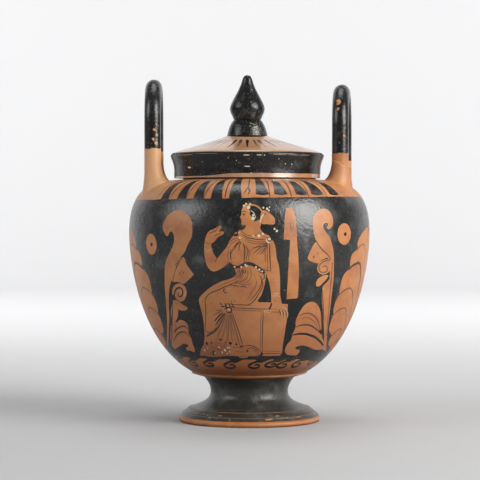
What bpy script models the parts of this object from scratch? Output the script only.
"""A lidded lebes: a footed bowl with two upright loop handles and a deep lid with a pointed knob.

Metres, +Z up. The origin is at the middle of the foot's resting ring, and the front looks along -Y.
"""
from bisect import bisect_left
from math import atan2, cos, hypot, pi, radians, sin

import bmesh
import bpy
from mathutils import Matrix, Vector

# How finely the round forms are cut
TURNING_STEPS = 44
HANDLE_SIDES = 12
ARCH_STEPS = 10
ROOT_STEPS = 4

# Foot, from the resting ring upwards
FOOT_RADIUS = 0.0705
FOOT_EDGE_HEIGHT = 0.0055
FOOT_EDGE_ROUND = 0.0008
FOOT_REST_WIDTH = 0.0105
FOOT_BAND_HEIGHT = 0.0035
FOOT_BAND_SLOPE = 0.0034
FOOT_STEP = 0.0006
FOOT_MOULDING_HEIGHT = 0.0045
FOOT_MOULDING_SLOPE = 0.0055
FOOT_GROOVE = 0.0008
FOOT_FLARE_HEIGHT = 0.0163

# Stem, hollow from below
STEM_RADIUS = 0.0385
STEM_HEIGHT = 0.0145
STEM_TOP_RADIUS = 0.0455
STEM_WALL = 0.009
SOFFIT_RISE = 0.0035
BOWL_LIP_HEIGHT = 0.0015
FLOOR_THICKNESS = 0.0085
HOLLOW_STRAIGHT = 0.024
HOLLOW_DOME = 0.016

# Bowl and shoulder
BOWL_FOOT_RADIUS = 0.0575
BOWL_RADIUS = 0.120
BOWL_DEPTH = 0.139
BOWL_START_SLOPE = radians(28.8)
BOWL_START_PULL = 0.0565
BOWL_BELLY_PULL = 0.0352
SHOULDER_RISE = 0.0525
SHOULDER_BELLY_PULL = 0.0533
SHOULDER_COLLAR_PULL = 0.0215
SHOULDER_SLOPE = radians(5.0)
BOWL_WALL = 0.006

# Collar under the lid
COLLAR_RADIUS = 0.066
COLLAR_WALL = 0.005
COLLAR_HEIGHT = 0.0215
COLLAR_ROUND = 0.001

# Lid
LID_SHIFT = 0.002
LID_PLAY = 0.001
LID_SEAT_GAP = 0.0003
LID_FLANGE_GAP = 0.0004
LID_FLANGE_WALL = 0.004
LID_FLANGE_ROUND = 0.0008
LID_FLANGE_STRAIGHT = 0.008
LID_FLARE_HEIGHT = 0.0153
LID_FLARE = 0.0037
LID_EDGE_DROP = 0.0033
LID_EDGE_WIDTH = 0.0041
LID_TOP_RISE = 0.0166
LID_WALL = 0.007
LID_SEAT_WIDTH = 0.009

# Knob of the lid
KNOB_BASE_RADIUS = 0.0203
KNOB_BASE_HEIGHT = 0.0155
KNOB_WAIST_RADIUS = 0.0139
KNOB_BULB_HEIGHT = 0.0114
KNOB_BULB_RADIUS = 0.0175
KNOB_POINT_HEIGHT = 0.0291
KNOB_POINT_RADIUS = 0.005
KNOB_TIP_HEIGHT = 0.0048

# Loop handles, which stand a little differently, as they were set by hand
HANDLE_THICKNESS = 0.0164
HANDLE_SPREAD = 0.066
HANDLE_SINK = 0.0025
ROOT_BITE = 0.001
ROOT_HEIGHT = 0.022
ROOT_SPREAD_INWARDS = 0.0115
ROOT_SPREAD_OUTWARDS = 0.0045
ROOT_CLEARANCE = 0.001
LEFT_HANDLE_INSET = 0.0248
LEFT_HANDLE_RISE = 0.0997
LEFT_HANDLE_YAW = radians(0.5)
RIGHT_HANDLE_INSET = 0.0275
RIGHT_HANDLE_RISE = 0.0947
RIGHT_HANDLE_YAW = radians(-5.7)

# Heights that follow from the sizes above
FLARE_FOOT_Z = FOOT_EDGE_HEIGHT + FOOT_BAND_HEIGHT + FOOT_MOULDING_HEIGHT
STEM_Z = FLARE_FOOT_Z + FOOT_FLARE_HEIGHT
STEM_TOP_Z = STEM_Z + STEM_HEIGHT
BOWL_Z = STEM_TOP_Z + SOFFIT_RISE + BOWL_LIP_HEIGHT
BELLY_Z = BOWL_Z + BOWL_DEPTH
COLLAR_Z = BELLY_Z + SHOULDER_RISE
COLLAR_TOP_Z = COLLAR_Z + COLLAR_HEIGHT
FLANGE_RADIUS = COLLAR_RADIUS + LID_SHIFT + LID_PLAY + LID_FLANGE_WALL


def curve(start, start_pull, end_pull, end, steps):
    """Points of a cubic curve in the profile plane, with both ends."""
    points = []
    for i in range(steps + 1):
        t = i / steps
        s = 1 - t
        weights = (s**3, 3 * s * s * t, 3 * s * t * t, t**3)
        controls = (start, start_pull, end_pull, end)
        points.append(tuple(sum(w * c[k] for w, c in zip(weights, controls)) for k in (0, 1)))
    return points


def inset(points, wall):
    """The outline moved by the wall's thickness to the left of its run."""
    moved = []
    last = len(points) - 1
    for i, (r, z) in enumerate(points):
        before = points[max(i - 1, 0)]
        after = points[min(i + 1, last)]
        dr = after[0] - before[0]
        dz = after[1] - before[1]
        length = hypot(dr, dz)
        moved.append((r - wall * dz / length, z + wall * dr / length))
    return moved


def bowl_curve(steps):
    """The bowl's outside from its lip over the foot up to the widest ring."""
    start = (BOWL_FOOT_RADIUS, BOWL_Z)
    start_pull = (
        BOWL_FOOT_RADIUS + BOWL_START_PULL * cos(BOWL_START_SLOPE),
        BOWL_Z + BOWL_START_PULL * sin(BOWL_START_SLOPE),
    )
    return curve(start, start_pull, (BOWL_RADIUS, BELLY_Z - BOWL_BELLY_PULL), (BOWL_RADIUS, BELLY_Z), steps)


def shoulder_curve(steps):
    """The shoulder's outside from the widest ring to the collar."""
    end_pull = (
        COLLAR_RADIUS + SHOULDER_COLLAR_PULL * cos(SHOULDER_SLOPE),
        COLLAR_Z - SHOULDER_COLLAR_PULL * sin(SHOULDER_SLOPE),
    )
    start_pull = (BOWL_RADIUS, BELLY_Z + SHOULDER_BELLY_PULL)
    return curve((BOWL_RADIUS, BELLY_Z), start_pull, end_pull, (COLLAR_RADIUS, COLLAR_Z), steps)


def shoulder_height(radius, points=tuple(reversed(shoulder_curve(60)))):
    """Height of the shoulder's outside at a distance from the axis."""
    radii = [r for r, _ in points]
    i = min(max(bisect_left(radii, radius), 1), len(radii) - 1)
    share = min(max((radius - radii[i - 1]) / (radii[i] - radii[i - 1]), 0.0), 1.0)
    return points[i - 1][1] + share * (points[i][1] - points[i - 1][1])


def foot_outline():
    """The foot and stem, from the inner edge of the resting ring up to the bowl's lip."""
    rest_inner = FOOT_RADIUS - FOOT_REST_WIDTH
    band_foot = FOOT_RADIUS - FOOT_EDGE_ROUND
    band_top = band_foot - FOOT_BAND_SLOPE
    moulding_foot = band_top - FOOT_STEP
    moulding_top = moulding_foot - FOOT_MOULDING_SLOPE
    band_top_z = FOOT_EDGE_HEIGHT + FOOT_BAND_HEIGHT
    flare_start = moulding_top - FOOT_GROOVE
    flare_width = flare_start - STEM_RADIUS
    outline = [
        (rest_inner, 0.0),
        (FOOT_RADIUS - FOOT_EDGE_ROUND, 0.0),
        (FOOT_RADIUS, FOOT_EDGE_ROUND),
        (FOOT_RADIUS, FOOT_EDGE_HEIGHT - FOOT_EDGE_ROUND),
        (band_foot, FOOT_EDGE_HEIGHT),
        (band_top, band_top_z),
        (moulding_foot, band_top_z),
        (moulding_top, FLARE_FOOT_Z),
    ]
    flare_pull = (flare_start - 0.65 * flare_width, FLARE_FOOT_Z + 0.29 * FOOT_FLARE_HEIGHT)
    stem_pull = (STEM_RADIUS, STEM_Z - 0.52 * FOOT_FLARE_HEIGHT)
    outline += curve((flare_start, FLARE_FOOT_Z), flare_pull, stem_pull, (STEM_RADIUS, STEM_Z), 5)
    spread = STEM_TOP_RADIUS - STEM_RADIUS
    low_pull = (STEM_RADIUS, STEM_Z + 0.35 * STEM_HEIGHT)
    high_pull = (STEM_TOP_RADIUS - 0.57 * spread, STEM_TOP_Z - 0.31 * STEM_HEIGHT)
    outline += curve((STEM_RADIUS, STEM_Z), low_pull, high_pull, (STEM_TOP_RADIUS, STEM_TOP_Z), 3)[1:]
    outline.append((BOWL_FOOT_RADIUS, STEM_TOP_Z + SOFFIT_RISE))
    return outline


def hollow_outline():
    """The hollow under the foot, from its crown on the axis down to the resting ring."""
    radius = STEM_RADIUS - STEM_WALL
    mouth = FOOT_RADIUS - FOOT_REST_WIDTH
    crown_z = HOLLOW_STRAIGHT + HOLLOW_DOME
    dome = curve(
        (0.0, crown_z),
        (0.6 * radius, crown_z),
        (radius, HOLLOW_STRAIGHT + 0.6 * HOLLOW_DOME),
        (radius, HOLLOW_STRAIGHT),
        3,
    )
    trumpet_pull = (mouth - 0.33 * (mouth - radius), 0.33 * HOLLOW_STRAIGHT)
    trumpet = curve((radius, HOLLOW_STRAIGHT), (radius, 0.42 * HOLLOW_STRAIGHT), trumpet_pull, (mouth, 0.0), 4)
    return dome + trumpet[1:-1]


def inside_outline():
    """The inside of the bowl, from the collar's rim down to the floor on the axis."""
    collar_inner = COLLAR_RADIUS - COLLAR_WALL
    wall = inset(bowl_curve(7), BOWL_WALL) + inset(shoulder_curve(6), BOWL_WALL)[1:]
    wall = [point for point in wall if point[0] > collar_inner or point[1] < BELLY_Z]
    floor_z = HOLLOW_STRAIGHT + HOLLOW_DOME + FLOOR_THICKNESS
    floor_start = wall[0]
    floor = curve(
        floor_start,
        (0.82 * floor_start[0], floor_start[1] - 0.18 * floor_start[0] * sin(BOWL_START_SLOPE)),
        (0.45 * floor_start[0], floor_z),
        (0.0, floor_z),
        4,
    )
    return [(collar_inner, wall[-1][1])] + list(reversed(wall)) + floor[1:]


def collar_rim():
    """The rounded rim of the collar, from outside to inside."""
    collar_inner = COLLAR_RADIUS - COLLAR_WALL
    return [
        (COLLAR_RADIUS, COLLAR_TOP_Z - COLLAR_ROUND),
        (COLLAR_RADIUS - COLLAR_ROUND, COLLAR_TOP_Z),
        (collar_inner + COLLAR_ROUND, COLLAR_TOP_Z),
        (collar_inner, COLLAR_TOP_Z - COLLAR_ROUND),
    ]


def lid_outline():
    """The lid about its own axis, from the knob's tip down the outside and back up the hollow."""
    bottom = COLLAR_Z + LID_FLANGE_GAP
    flare_z = bottom + LID_FLANGE_STRAIGHT
    edge_z = flare_z + LID_FLARE_HEIGHT
    edge_radius = FLANGE_RADIUS + LID_FLARE
    top_z = edge_z + LID_EDGE_DROP
    top_radius = edge_radius - LID_EDGE_WIDTH
    knob_z = top_z + LID_TOP_RISE
    outline = knob_outline(knob_z)
    top_width = top_radius - KNOB_BASE_RADIUS
    outline += curve(
        (KNOB_BASE_RADIUS, knob_z),
        (KNOB_BASE_RADIUS + 0.26 * top_width, knob_z - 0.36 * LID_TOP_RISE),
        (top_radius - 0.34 * top_width, top_z + 0.34 * LID_TOP_RISE),
        (top_radius, top_z),
        4,
    )[1:]
    outline += curve(
        (top_radius, top_z),
        (edge_radius - 0.25 * LID_EDGE_WIDTH, edge_z + 0.55 * LID_EDGE_DROP),
        (edge_radius, edge_z + 0.3 * LID_EDGE_DROP),
        (edge_radius, edge_z),
        2,
    )[1:]
    outline += curve(
        (edge_radius, edge_z),
        (edge_radius - 0.3 * LID_FLARE, edge_z - 0.35 * LID_FLARE_HEIGHT),
        (FLANGE_RADIUS, flare_z + 0.52 * LID_FLARE_HEIGHT),
        (FLANGE_RADIUS, flare_z),
        4,
    )[1:]
    seat_outer = FLANGE_RADIUS - LID_FLANGE_WALL
    seat_inner = seat_outer - LID_PLAY - LID_SHIFT - LID_SEAT_WIDTH
    seat_z = COLLAR_TOP_Z + LID_SEAT_GAP
    outline += [
        (FLANGE_RADIUS, bottom + LID_FLANGE_ROUND),
        (FLANGE_RADIUS - LID_FLANGE_ROUND, bottom),
        (seat_outer + LID_FLANGE_ROUND, bottom),
        (seat_outer, bottom + LID_FLANGE_ROUND),
        (seat_outer, seat_z),
    ]
    crown_z = knob_z - LID_WALL
    outline += curve(
        (seat_inner, seat_z),
        (0.75 * seat_inner, seat_z + 0.7 * (crown_z - seat_z)),
        (0.4 * seat_inner, crown_z),
        (0.0, crown_z),
        4,
    )
    return outline


def knob_outline(knob_z):
    """The knob, from its tip down to its base."""
    waist_z = knob_z + KNOB_BASE_HEIGHT
    bulb_z = waist_z + KNOB_BULB_HEIGHT
    point_z = bulb_z + KNOB_POINT_HEIGHT
    tip_z = point_z + KNOB_TIP_HEIGHT
    tip = curve(
        (0.0, tip_z),
        (0.55 * KNOB_POINT_RADIUS, tip_z),
        (0.9 * KNOB_POINT_RADIUS, tip_z - 0.4 * KNOB_TIP_HEIGHT),
        (KNOB_POINT_RADIUS, point_z),
        3,
    )
    point_width = KNOB_BULB_RADIUS - KNOB_POINT_RADIUS
    point = curve(
        (KNOB_POINT_RADIUS, point_z),
        (KNOB_POINT_RADIUS + 0.24 * point_width, point_z - 0.41 * KNOB_POINT_HEIGHT),
        (KNOB_BULB_RADIUS, bulb_z + 0.21 * KNOB_POINT_HEIGHT),
        (KNOB_BULB_RADIUS, bulb_z),
        4,
    )
    bulb = curve(
        (KNOB_BULB_RADIUS, bulb_z),
        (KNOB_BULB_RADIUS, bulb_z - 0.47 * KNOB_BULB_HEIGHT),
        (KNOB_WAIST_RADIUS + 0.0003, waist_z + 0.31 * KNOB_BULB_HEIGHT),
        (KNOB_WAIST_RADIUS, waist_z),
        3,
    )
    base_width = KNOB_BASE_RADIUS - KNOB_WAIST_RADIUS
    base = curve(
        (KNOB_WAIST_RADIUS, waist_z),
        (KNOB_WAIST_RADIUS + 0.58 * base_width, waist_z - 0.26 * KNOB_BASE_HEIGHT),
        (KNOB_BASE_RADIUS - 0.2 * base_width, knob_z + 0.35 * KNOB_BASE_HEIGHT),
        (KNOB_BASE_RADIUS, knob_z),
        3,
    )
    return tip + point[1:] + bulb[1:] + base[1:]


def material(name, colour, roughness):
    """A fired surface with one colour."""
    made = bpy.data.materials.new(name)
    made.use_nodes = True
    shader = made.node_tree.nodes["Principled BSDF"]
    shader.inputs["Base Color"].default_value = (*colour, 1.0)
    shader.inputs["Roughness"].default_value = roughness
    made.diffuse_color = (*colour, 1.0)
    return made


def add_object(name, work, surface):
    """Turns a bmesh into a smooth-shaded object of the scene."""
    bmesh.ops.recalc_face_normals(work, faces=work.faces)
    mesh = bpy.data.meshes.new(name)
    work.to_mesh(mesh)
    work.free()
    mesh.materials.append(surface)
    mesh.shade_smooth()
    mesh.set_sharp_from_angle(angle=radians(35))
    made = bpy.data.objects.new(name, mesh)
    bpy.context.collection.objects.link(made)
    return made


def turned(name, outline, surface):
    """A solid turned about the vertical axis from an outline that starts and ends on it."""
    work = bmesh.new()
    corners = [work.verts.new((r, 0.0, z)) for r, z in outline]
    edges = [work.edges.new(pair) for pair in zip(corners, corners[1:])]
    bmesh.ops.spin(
        work,
        geom=corners + edges,
        cent=(0.0, 0.0, 0.0),
        axis=(0.0, 0.0, 1.0),
        angle=2 * pi,
        steps=TURNING_STEPS,
        use_merge=True,
    )
    on_axis = [v for v in work.verts if hypot(v.co.x, v.co.y) < 1e-7]
    bmesh.ops.remove_doubles(work, verts=on_axis, dist=1e-6)
    return add_object(name, work, surface)


def root_ring(centre, grow):
    """One ring of a strut's flared root: grow is 0 on the strut and a quarter turn on the shoulder."""
    inwards = atan2(-centre.y, -centre.x)
    strut_inner = centre.length - HANDLE_THICKNESS / 2
    strut_outer = centre.length + HANDLE_THICKNESS / 2
    spread_in = min(ROOT_SPREAD_INWARDS, strut_inner - FLANGE_RADIUS - LID_SHIFT - ROOT_CLEARANCE)
    spread_out = min(ROOT_SPREAD_OUTWARDS, BOWL_RADIUS - strut_outer - ROOT_CLEARANCE)
    middle = (spread_in + spread_out) / 2
    lean = (spread_in - spread_out) / 2
    ring = []
    for side in range(HANDLE_SIDES):
        angle = 2 * pi * side / HANDLE_SIDES
        spread = middle + lean * cos(angle - inwards)
        radius = HANDLE_THICKNESS / 2 + spread * (1 - cos(grow))
        x = centre.x + radius * cos(angle)
        y = centre.y + radius * sin(angle)
        above = ROOT_HEIGHT * (1 - sin(grow)) - ROOT_BITE * sin(grow)
        ring.append(Vector((x, y, shoulder_height(hypot(x, y)) + above)))
    return ring


def handle_rings(reach, yaw, rise):
    """Rings of a loop handle from one sunk root over the arch to the other."""
    turn = Matrix.Rotation(yaw, 3, "Z")
    half = HANDLE_SPREAD / 2
    arch_z = COLLAR_Z + rise - HANDLE_THICKNESS / 2 - half
    roots = []
    for y in (-half, half):
        centre = Vector((reach, 0.0, 0.0)) + turn @ Vector((0.0, y, 0.0))
        rings = [root_ring(centre, 0.5 * pi * (1 - i / ROOT_STEPS)) for i in range(ROOT_STEPS + 1)]
        sunk = [corner - Vector((0.0, 0.0, HANDLE_SINK)) for corner in rings[0]]
        roots.append([sunk] + rings)
    arch = []
    for i in range(ARCH_STEPS + 1):
        swing = pi * i / ARCH_STEPS
        middle = Vector((0.0, -half * cos(swing), half * sin(swing)))
        away = middle.normalized()
        ring = []
        for side in range(HANDLE_SIDES):
            angle = 2 * pi * side / HANDLE_SIDES - yaw
            across = Vector((cos(angle), 0.0, 0.0))
            # the ring's Y share follows the outward direction, which is -Y at the front root
            outward = away * -sin(angle)
            corner = middle + (across + outward) * HANDLE_THICKNESS / 2
            ring.append(Vector((reach, 0.0, arch_z)) + turn @ corner)
        arch.append(ring)
    back = [mirror_order(ring) for ring in reversed(roots[1])]
    return roots[0] + arch + back


def mirror_order(ring):
    """The same ring named round the other way, to match rings that came over the arch."""
    return [ring[-side % len(ring)] for side in range(len(ring))]


def handle(name, reach, yaw, rise, surface):
    """A closed loop handle, which a union then joins to the shoulder."""
    work = bmesh.new()
    rings = [[work.verts.new(corner) for corner in ring] for ring in handle_rings(reach, yaw, rise)]
    for low, high in zip(rings, rings[1:]):
        for side in range(HANDLE_SIDES):
            after = (side + 1) % HANDLE_SIDES
            work.faces.new((low[side], low[after], high[after], high[side]))
    work.faces.new(reversed(rings[0]))
    work.faces.new(rings[-1])
    made = add_object(name, work, surface)
    made.hide_render = True
    made.display_type = "WIRE"
    return made


def join(body, piece):
    """Joins a piece to the body as one fired solid."""
    union = body.modifiers.new("join " + piece.name, "BOOLEAN")
    union.operation = "UNION"
    union.object = piece


def main():
    for old in list(bpy.data.objects):
        bpy.data.objects.remove(old, do_unlink=True)
    glaze = material("black gloss on red clay", (0.035, 0.03, 0.028), 0.28)
    lid_glaze = material("lid black gloss on red clay", (0.04, 0.033, 0.03), 0.3)

    outline = hollow_outline() + foot_outline() + bowl_curve(11) + shoulder_curve(8)[1:]
    vessel = turned("vessel", outline + collar_rim() + inside_outline(), glaze)
    left = handle("left loop", LEFT_HANDLE_INSET - BOWL_RADIUS, LEFT_HANDLE_YAW, LEFT_HANDLE_RISE, glaze)
    right = handle("right loop", BOWL_RADIUS - RIGHT_HANDLE_INSET, RIGHT_HANDLE_YAW, RIGHT_HANDLE_RISE, glaze)
    join(vessel, left)
    join(vessel, right)

    lid = turned("lid", lid_outline(), lid_glaze)
    lid.location.x = -LID_SHIFT


main()
